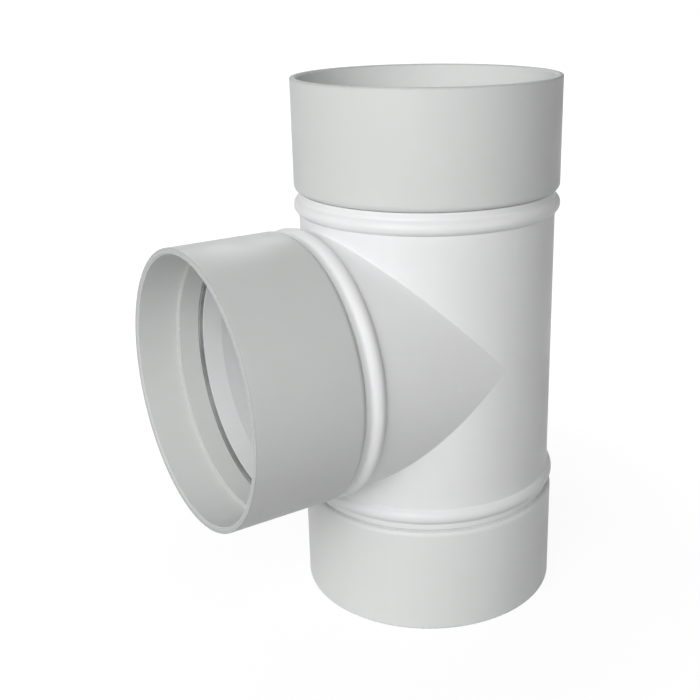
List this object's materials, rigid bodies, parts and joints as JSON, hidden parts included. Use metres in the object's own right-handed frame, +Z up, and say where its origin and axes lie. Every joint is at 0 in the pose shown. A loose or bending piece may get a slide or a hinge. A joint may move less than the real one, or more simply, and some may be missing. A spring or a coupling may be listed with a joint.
{
  "type": "pipe tee fitting",
  "caption": "Equal pipe tee with a mitred branch, push-on socket collars with rubber lip seals, and rolled beads behind each collar.",
  "frame": {"origin": "centre of the bottom socket's mouth, in the plane of its rim, on which the tee stands", "axes": "+Z up along the run's axis, towards the top socket; the branch points to -X; +Y completes the right-handed frame"},
  "size_m": [0.1752, 0.1164, 0.234],
  "materials": {
    "white_barrel": "satin white PVC",
    "grey_collar": "satin pale grey PVC, very slightly green",
    "grey_ring": "matt pale grey PVC",
    "dark_rubber": "matt dark grey rubber"
  },
  "bodies": {
    "tee": {"run_barrel": "white_barrel", "branch_barrel": "white_barrel", "top_lip_seal": "dark_rubber", "bottom_lip_seal": "dark_rubber", "branch_lip_seal": "dark_rubber"},
    "top_socket": {"top_collar": "grey_collar", "top_stop_ring": "grey_ring"},
    "bottom_socket": {"bottom_collar": "grey_collar", "bottom_stop_ring": "grey_ring"},
    "branch_socket": {"branch_collar": "grey_collar", "branch_stop_ring": "grey_ring"}
  },
  "joints": [
    {"name": "top_socket_pull", "type": "slide", "parent": "tee", "child": "top_socket", "axis": [0, 0, 1], "range_m": [0, 0.03]},
    {"name": "bottom_socket_pull", "type": "slide", "parent": "tee", "child": "bottom_socket", "axis": [0, 0, -1], "range_m": [0, 0.03]},
    {"name": "branch_socket_pull", "type": "slide", "parent": "tee", "child": "branch_socket", "axis": [-1, 0, 0], "range_m": [0, 0.03]}
  ]
}
